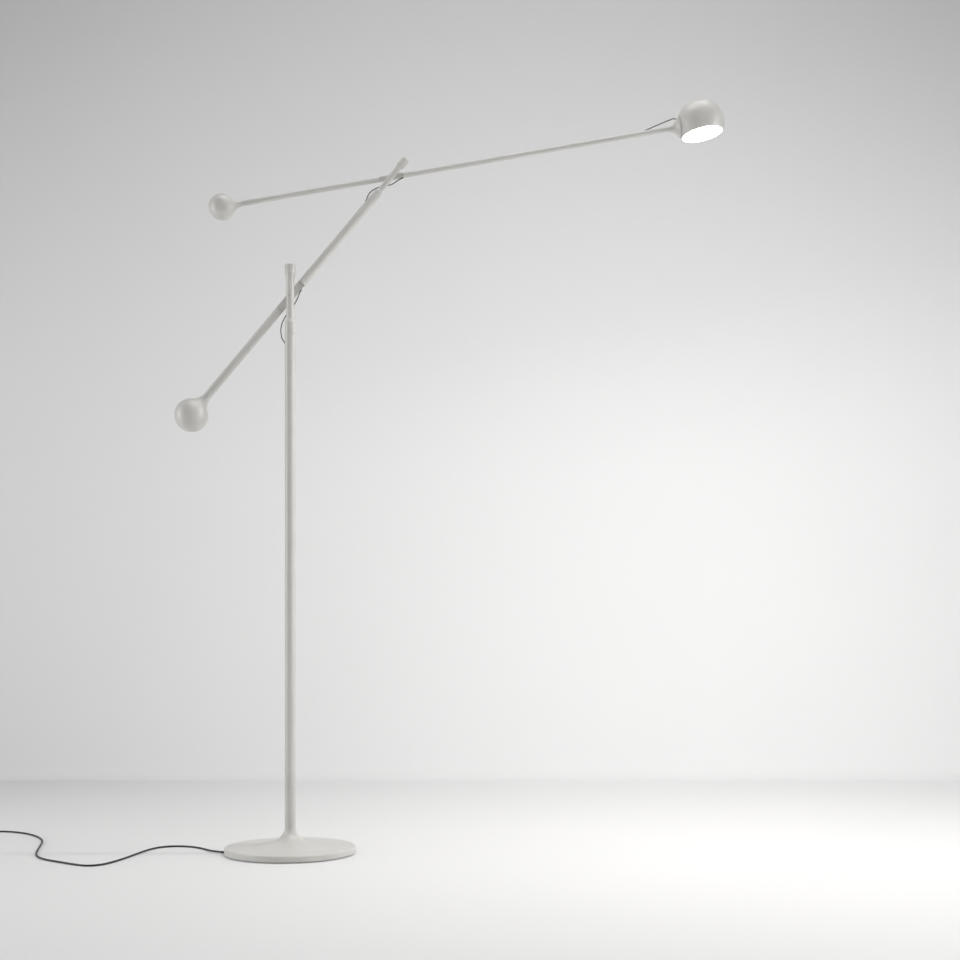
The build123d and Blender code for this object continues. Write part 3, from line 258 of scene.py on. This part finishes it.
# ---- the frame's nodes take their finish by slot ----
nodeFinish = {
    "iron": ["base_weight"],
    "rubber_black": ["floor_pad", "cord_relief", "post_grommet", "lower_grommets",
                     "upper_grommets"],
    "lead_jacket": ["post_lead", "lower_lead", "upper_lead"],
    "steel": ["post_foot", "post_stud", "stud_nut", "swivel_clip", "disc_spring_1", "disc_spring_2",
              "pivot_nut_1", "pivot_nut_2", "lower_ball_stud", "upper_ball_stud", "adapter_pins"],
    "brass": ["friction_washer_1", "friction_washer_2"],
    "glide_plastic": ["glide_ring"],
    "magnet": ["cup_magnet"],
    "heat_sink_metal": ["heat_sink"],
    "circuit_board": ["led_board", "control_board"],
    "white_plastic": ["reflector", "bezel_ring"],
    "opal_diffuser": ["diffuser"],
    "black_plastic": ["adapter", "jack_socket", "jack_plug"],
}
slotOf = {node: slot for slot, members in nodeFinish.items() for node in members}
for nodeName, node in nodes.items():
    wanted = finish[slotOf.get(nodeName, "paint")]
    node.data.materials.clear()
    node.data.materials.append(wanted)

# ---- cords and leads: each is one smooth spline through its route's points ----
leadLook = {"diameter": 0.0022, "around": 14}
cordLook = {"diameter": 0.0044, "around": 16, "floorHeight": 0.00225, "headingDegrees": 150,
            "exit": (-147.7, -20, 5.2), "insideRim": 0.014, "straightOut": 0.043}


def metres(points):
    return np.array(points, float) / 1000


# Points in a turned frame: x along an arm that rises by an angle, y square to it and upwards, z to
# the front.
def alongArm(points, origin, riseDegrees):
    rise = math.radians(riseDegrees)
    along, upwards, front = points[:, 0], points[:, 1], points[:, 2]
    return np.stack([origin[0] + along * math.cos(rise) - upwards * math.sin(rise),
                     origin[1] - front,
                     origin[2] + along * math.sin(rise) + upwards * math.cos(rise)], 1)


# The smooth line that a quadratic NURBS spline draws for control points, read back as points.
def splineLine(name, points, steps=12):
    curve = bpy.data.curves.new(name, "CURVE")
    curve.dimensions = "3D"
    spline = curve.splines.new("NURBS")
    spline.points.add(len(points) - 1)
    spline.points.foreach_set("co", np.column_stack([points, np.ones(len(points))]).ravel())
    spline.order_u = 3
    spline.use_endpoint_u = True
    spline.resolution_u = steps
    holder = bpy.data.objects.new(name, curve)
    bpy.context.scene.collection.objects.link(holder)
    line = bpy.data.meshes.new_from_object(holder)
    read = np.zeros(len(line.vertices) * 3)
    line.vertices.foreach_get("co", read)
    bpy.data.objects.remove(holder)
    bpy.data.meshes.remove(line)
    return read.reshape(-1, 3)


# A mesh from whole arrays: a grid of rows by columns closed round its columns, with a map of
# length and turn.
def gridTube(name, rings, lengths, material):
    rows, columns = rings.shape[:2]
    mesh = bpy.data.meshes.new(name)
    row, column = np.meshgrid(np.arange(rows - 1), np.arange(columns), indexing="ij")
    nextColumn = (column + 1) % columns
    corners = [row * columns + column, (row + 1) * columns + column,
               (row + 1) * columns + nextColumn, row * columns + nextColumn]
    quads = np.stack(corners, -1).reshape(-1, 4)
    caps = [list(range(columns)), list(range(rows * columns - 1, (rows - 1) * columns - 1, -1))]
    mesh.from_pydata(rings.reshape(-1, 3), [], quads.tolist() + caps)
    mapLayer = mesh.uv_layers.new(name="alongLead")
    turns = np.stack([column, column, column + 1, column + 1], -1).reshape(-1) / columns
    near, far = lengths[row], lengths[row + 1]
    reach = np.stack([near, far, far, near], -1).reshape(-1)
    capMap = np.zeros((2 * columns, 2))
    mapLayer.data.foreach_set("uv", np.vstack([np.stack([reach, turns], 1), capMap]).ravel())
    mesh.polygons.foreach_set("use_smooth", np.ones(len(mesh.polygons), bool))
    mesh.materials.append(material)
    mesh.update()
    piece = bpy.data.objects.new(name, mesh)
    bpy.context.scene.collection.objects.link(piece)
    return piece


# Round tube on a line: at each point a circle square to the line, its sides set by a fixed
# direction.
def tubeOn(name, line, diameter, around, material, reference=(0.0, 1.0, 0.0)):
    tangents = np.gradient(line, axis=0)
    tangents /= np.linalg.norm(tangents, axis=1)[:, None]
    side = np.cross(tangents, np.array(reference))
    side /= np.linalg.norm(side, axis=1)[:, None]
    upwards = np.cross(side, tangents)
    turn = np.linspace(0, 2 * math.pi, around, endpoint=False)
    rings = line[:, None, :] + diameter / 2 * (np.cos(turn)[None, :, None] * side[:, None, :]
                                               + np.sin(turn)[None, :, None] * upwards[:, None, :])
    lengths = np.concatenate([[0], np.cumsum(np.linalg.norm(np.diff(line, axis=0), axis=1))])
    return gridTube(name, rings, lengths, material), lengths[-1]


# Places in millimetres and degrees: both pivots, the upper arm's plane behind the lower one's, both
# arms' rise, the reach to the head's middle, and the jack on the head in the upper arm's own frame.
armPlaces = {"pivotOne": (0, 4, 1282), "pivotTwo": (231.9169, 4, 1558.3888), "behind": (0, 3, 0),
             "lowerRise": 50.0, "upperRise": 9.9, "headReach": (724.6, 0, 0),
             "lowerBore": (25, -9, 0), "upperBore": (22.7, -6, 0)}
jackPlaces = {"way": (-0.45, 0.27, -0.86), "tailTowards": (-0.66, 0.54, 0.52), "fromMiddle": 0.062,
              "tailLength": 0.009, "beyondPlug": 0.008, "insidePlug": 0.003}
pivotOne, pivotTwo = metres(armPlaces["pivotOne"]), metres(armPlaces["pivotTwo"])
upperStart = pivotTwo + metres(armPlaces["behind"])
lowerRise, upperRise = armPlaces["lowerRise"], armPlaces["upperRise"]
headMiddle = alongArm(metres([armPlaces["headReach"]]), upperStart, upperRise)[0]
jackWay = np.array(jackPlaces["way"]) / np.linalg.norm(jackPlaces["way"])
plugTail = np.array(jackPlaces["tailTowards"])
plugTail -= jackWay * (plugTail @ jackWay)
plugTail /= np.linalg.norm(plugTail)
plugEnd = jackWay * jackPlaces["fromMiddle"] + plugTail * jackPlaces["tailLength"]

lowerBoreIn = alongArm(metres([armPlaces["lowerBore"]]), pivotOne, lowerRise)
upperBoreIn = alongArm(metres([armPlaces["upperBore"]]), upperStart, upperRise)
# Each lead's points, and the two bodies that it runs between. One is listed backwards, from its far
# end back to its start, where two joints turn together; only the points are read here.
leadRoutes = {
    "loop_post_low": {
        "points": metres([(-12.5, 0, 1176), (-18.5, 0.3, 1182.5), (-21.8, 1, 1197),
                          (-21.6, 1.7, 1213), (-17, 2.7, 1227), (-10.4, 3.6, 1238.5)]),
        "between": ("stand", "post_head")},
    "loop_post_high": {
        "points": np.vstack([metres([(-10.4, 3.6, 1238.5), (-1, 4.5, 1252), (8.5, 4.4, 1264),
                                     (15.4, 4.2, 1277), (20.2, 4, 1287.6)]), lowerBoreIn]),
        "between": ("lower_arm", "post_head"), "backwards": True},
    "loop_elbow": {
        "points": np.vstack([alongArm(metres([(-78, 9, 0), (-69.5, 13.4, -0.2), (-55, 15.2, -0.8),
                                              (-38, 9, -2.2), (-24, -1.2, -2.8), (-12, -11.5, -3),
                                              (2.5, -15.6, -3)]),
                                      pivotTwo, lowerRise), upperBoreIn]),
        "between": ("lower_arm", "upper_arm")},
    "loop_cup": {
        "points": alongArm(metres([(596.6, 6, 0), (614, 12.4, -5), (636, 20, -13), (656, 27.5, -22),
                                   (668, 31.8, -28)]), upperStart, upperRise),
        "between": ("upper_arm", "glide")},
    "loop_head": {
        "points": np.vstack([alongArm(metres([(668, 31.8, -28), (678.5, 34.2, -34)]),
                                      upperStart, upperRise),
                             alongArm(np.array([plugEnd + plugTail * jackPlaces["beyondPlug"],
                                                plugEnd - plugTail * jackPlaces["insidePlug"]]),
                                      headMiddle, upperRise)]),
        "between": ("glide", "head")},
}
for leadName, route in leadRoutes.items():
    line = splineLine(leadName, route["points"])
    lead, leadLength = tubeOn(leadName.replace("loop", "lead"), line, leadLook["diameter"],
                              leadLook["around"], finish["lead_jacket"])
    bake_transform(lead)
    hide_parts(leadName)
    print("stage: lead", leadName, "length", round(leadLength * 1000, 1), "mm")

# Mains cord: out of the base's rim, over the floor, and wound in a small coil beside its adapter.
cordHeading = math.radians(cordLook["headingDegrees"])
cordWay = np.array([math.cos(cordHeading), math.sin(cordHeading), 0])
reliefStart = metres(cordLook["exit"]) - cordWay * cordLook["insideRim"]
floorRun = [(-197, 36), (-223, 69), (-251, 90), (-288, 98), (-322, 80), (-338, 36), (-347, -20),
            (-357, -78), (-369, -134), (-385, -176), (-413, -190), (-446, -170), (-490, -136),
            (-533, -102), (-563, -62), (-582, -10), (-597, 50), (-611, 110), (-625, 168),
            (-648, 224), (-681, 276), (-720, 318), (-760, 342), (-799, 352), (-832, 352)]
coilToAdapter = [(-878.4, 313, 6.8), (-878.4, 306, 6.9), (-878.4, 298.6, 7.0)]
coilLook = {"middle": (-0.850, 0.3236), "outer": 0.0284, "pitch": 0.0044, "inner": 0.0196,
            "lowTurns": 2.0, "climb": 0.3, "highTurns": 1.95, "pointsPerTurn": 16,
            "layerGap": 0.00005}


# Coil: radius shrinks by one cord a turn, climbs one cord over part of a turn, then grows again on
# top.
def coilPoints(look, lowHeight):
    highHeight = lowHeight + look["pitch"] + look["layerGap"]
    turnsAll = look["lowTurns"] + look["climb"] + look["highTurns"]
    turn = np.linspace(0, turnsAll, int(look["pointsPerTurn"] * turnsAll) + 1)
    climbStart, climbEnd = look["lowTurns"], look["lowTurns"] + look["climb"]
    share = np.clip((turn - climbStart) / look["climb"], 0, 1)
    share = share * share * (3 - 2 * share)
    radius = np.where(turn < climbStart, look["outer"] - look["pitch"] * turn,
                      look["inner"] + look["pitch"] * np.clip(turn - climbEnd, 0, None))
    angle = math.pi / 2 + 2 * math.pi * turn
    return np.stack([look["middle"][0] + radius * np.cos(angle),
                     look["middle"][1] + radius * np.sin(angle),
                     lowHeight + (highHeight - lowHeight) * share], 1)


floorHeight = cordLook["floorHeight"]
cordPoints = np.vstack([
    reliefStart[None, :], (reliefStart + cordWay * cordLook["straightOut"])[None, :],
    np.column_stack([metres(floorRun), np.full(len(floorRun), floorHeight)]),
    coilPoints(coilLook, floorHeight),
    metres(coilToAdapter),
])
cordLine = splineLine("mainsRoute", cordPoints, 10)
mainsCord, cordLength = tubeOn("mains_cord_run", cordLine, cordLook["diameter"],
                               cordLook["around"], finish["lead_jacket"], (0.0, 0.0, 1.0))
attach(mainsCord, "stand")
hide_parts("mains_cord", "cord_coil")
print("stage: mains cord, length", round(cordLength, 3), "m")

# ---- studio: pale floor, a wall behind the lamp and four far walls, all one-sided ----
studioLook = {"wallDistance": 1.69, "reach": 6.5, "wallTop": 5.0, "turnRadius": 0.05,
              "turnSteps": 12, "floorDrop": 0.0002}


# A sheet swept between two ends: a line of Y and Z is carried along X from one side to the other.
def sweptSheet(name, lineY, lineZ, reach, turnDegrees, material):
    left = np.stack([np.full(len(lineY), -reach), lineY, lineZ], 1)
    points = np.vstack([left, left * [-1, 1, 1]])
    turn = math.radians(turnDegrees)
    along, across = points[:, 0], points[:, 1]
    points = np.stack([along * math.cos(turn) - across * math.sin(turn),
                       along * math.sin(turn) + across * math.cos(turn), points[:, 2]], 1)
    count = len(lineY)
    start = np.arange(count - 1)
    mesh = bpy.data.meshes.new(name)
    corners = [start, start + count, start + count + 1, start + 1]
    mesh.from_pydata(points, [], np.stack(corners, 1).tolist())
    mesh.polygons.foreach_set("use_smooth", np.ones(count - 1, bool))
    mesh.materials.append(material)
    piece = bpy.data.objects.new(name, mesh)
    bpy.context.scene.collection.objects.link(piece)
    return piece


# Seen from its back a sheet lets everything through, so that the lamp shows from every side.
def oneSided(tree, links, shader):
    geometry = tree.new("ShaderNodeNewGeometry")
    clear = tree.new("ShaderNodeBsdfTransparent")
    either = tree.new("ShaderNodeMixShader")
    links.new(geometry.outputs["Backfacing"], either.inputs["Fac"])
    links.new(shader.outputs["BSDF"], either.inputs[1])
    links.new(clear.outputs["BSDF"], either.inputs[2])
    output = next(node for node in tree if node.type == "OUTPUT_MATERIAL")
    links.new(either.outputs["Shader"], output.inputs["Surface"])


# Paper: plain diffuse plus painted light, a faint emitted glow that fades with height and to the
# left, standing in for how the studio lights fall on the floor and the wall.
paperLook = {"shades": (0.60, 0.61), "toneCells": 0.8, "roughness": 0.9, "specular": 0.2,
             "brightestX": 1.3, "fadeX": 2.9, "fadeFrom": 1.0, "fadeTo": 3.0, "leftShare": 0.36,
             "topShare": 0.0, "glow": 0.28, "floorShare": 0.85, "floorBlend": 0.05}


# Painted light: glow = its full strength x the share left at this distance across x the share left
# at this height x the floor's own share.
def paperFinish(look):
    material, tree, links, shader = startMaterial("studioPaper")
    tone = noisePattern(tree, links, look["toneCells"], plainDetail)
    dark, light = ((shade,) * 3 for shade in look["shades"])
    links.new(colourBetween(tree, links, tone, dark, light), shader.inputs["Base Color"])
    shader.inputs["Roughness"].default_value = look["roughness"]
    shader.inputs["Specular IOR Level"].default_value = look["specular"]
    coordinates = tree.new("ShaderNodeTexCoord")
    parts = tree.new("ShaderNodeSeparateXYZ")
    links.new(coordinates.outputs["Object"], parts.inputs["Vector"])
    away = arithmetic(tree, links, "SUBTRACT", parts.outputs["X"], look["brightestX"])
    distance = arithmetic(tree, links, "ABSOLUTE", away)
    across = moved(tree, links, distance, (0.0, look["fadeX"]), (1.0, look["leftShare"]), True)
    height = moved(tree, links, parts.outputs["Z"], (look["fadeFrom"], look["fadeTo"]),
                   (1.0, look["topShare"]), True)
    floorPart = moved(tree, links, parts.outputs["Z"], (0.0, look["floorBlend"]),
                      (look["floorShare"], 1.0))
    paintedLightFade = arithmetic(tree, links, "MULTIPLY", across, height)
    both = arithmetic(tree, links, "MULTIPLY", paintedLightFade, floorPart)
    # Painted light: the floor and the wall emit this glow themselves, brightest near the lamp and
    # fading away from it.
    glow = arithmetic(tree, links, "MULTIPLY", both, look["glow"])
    shader.inputs["Emission Color"].default_value = (1, 1, 1, 1)
    links.new(glow, shader.inputs["Emission Strength"])
    oneSided(tree, links, shader)
    return material


# Far walls: plain diffuse with an even glow.
farLook = {"shades": (0.50, 0.51), "toneCells": 0.5, "roughness": 0.9, "glow": 0.17}


def farFinish(look):
    material, tree, links, shader = startMaterial("farPaper")
    tone = noisePattern(tree, links, look["toneCells"], plainDetail)
    dark, light = ((shade,) * 3 for shade in look["shades"])
    links.new(colourBetween(tree, links, tone, dark, light), shader.inputs["Base Color"])
    shader.inputs["Roughness"].default_value = look["roughness"]
    shader.inputs["Emission Color"].default_value = (1, 1, 1, 1)
    shader.inputs["Emission Strength"].default_value = look["glow"]
    oneSided(tree, links, shader)
    return material


paper, farPaper = paperFinish(paperLook), farFinish(farLook)
reach, wallTop, corner = studioLook["reach"], studioLook["wallTop"], studioLook["turnRadius"]
sweepTurn = np.linspace(0, math.pi / 2, studioLook["turnSteps"])
nearWall = studioLook["wallDistance"] - corner
sweptSheet("studioFloor", np.array([-reach, reach]), np.full(2, -studioLook["floorDrop"]), reach,
           0, paper)
sweptSheet("studioWall",
           np.concatenate([nearWall + corner * np.sin(sweepTurn), [nearWall + corner]]),
           np.concatenate([corner * (1 - np.cos(sweepTurn)), [wallTop]]), reach, 0, paper)
for side in range(4):
    sweptSheet("farWall" + str(side), np.array([reach, reach]), np.array([0, wallTop]), reach,
               90 * side, farPaper)

lights = {
    "stripLeft": {"place": (-2.5, -0.45, 1.2), "aim": (0.2, 0.0, 1.1), "size": (0.8, 2.2),
                  "watts": 32.0},
    "stripRight": {"place": (3.2, -0.75, 1.2), "aim": (0.3, 0.0, 1.1), "size": (0.9, 2.2),
                   "watts": 33.0},
    "frontFill": {"place": (0.6, -4.6, 3.2), "aim": (0.5, -1.3, 0.0), "size": (2.0, 1.2),
                  "watts": 16.0},
    "overhead": {"place": (0.6, -0.3, 3.6), "aim": (0.6, -0.2, 0.0), "size": (2.2, 1.6),
                 "watts": 40.0},
}
for lightName, look in lights.items():
    lampData = bpy.data.lights.new(lightName, "AREA")
    lampData.shape = "RECTANGLE"
    lampData.size, lampData.size_y = look["size"]
    lampData.energy = look["watts"]
    lamp = bpy.data.objects.new(lightName, lampData)
    lamp.location = look["place"]
    way = np.array(look["aim"]) - np.array(look["place"])
    flat = math.hypot(way[0], way[1])
    lamp.rotation_euler = (math.atan2(flat, -way[2]), 0, math.atan2(way[1], way[0]) - math.pi / 2)
    lamp.visible_camera = False
    bpy.context.scene.collection.objects.link(lamp)

# The lamp's own light: a disc just under the opal, turned the way the opening faces; it moves with
# the head.
ownLight = {"watts": 13.0, "size": 0.09, "below": 0.0266, "colour": (1.0, 0.97, 0.93)}
discData = bpy.data.lights.new("headLight", "AREA")
discData.shape = "DISK"
discData.size = ownLight["size"]
discData.energy = ownLight["watts"]
discData.color = ownLight["colour"]
disc = bpy.data.objects.new("headLight", discData)
openingTurn = math.radians(upperRise)
openingWay = np.array([math.sin(openingTurn), 0, -math.cos(openingTurn)])
disc.location = headMiddle + openingWay * ownLight["below"]
disc.rotation_euler = (0, -openingTurn, 0)
disc.visible_camera = False
bpy.context.scene.collection.objects.link(disc)
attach(disc, "head")

# Even light from all round.
airLook = {"colour": (0.78, 0.79, 0.80), "strength": 0.16}
world = bpy.data.worlds.new("studioAir")
world.use_nodes = True
air = world.node_tree.nodes["Background"]
air.inputs["Color"].default_value = (*airLook["colour"], 1)
air.inputs["Strength"].default_value = airLook["strength"]
bpy.context.scene.world = world
print("stage: studio and lights ready")
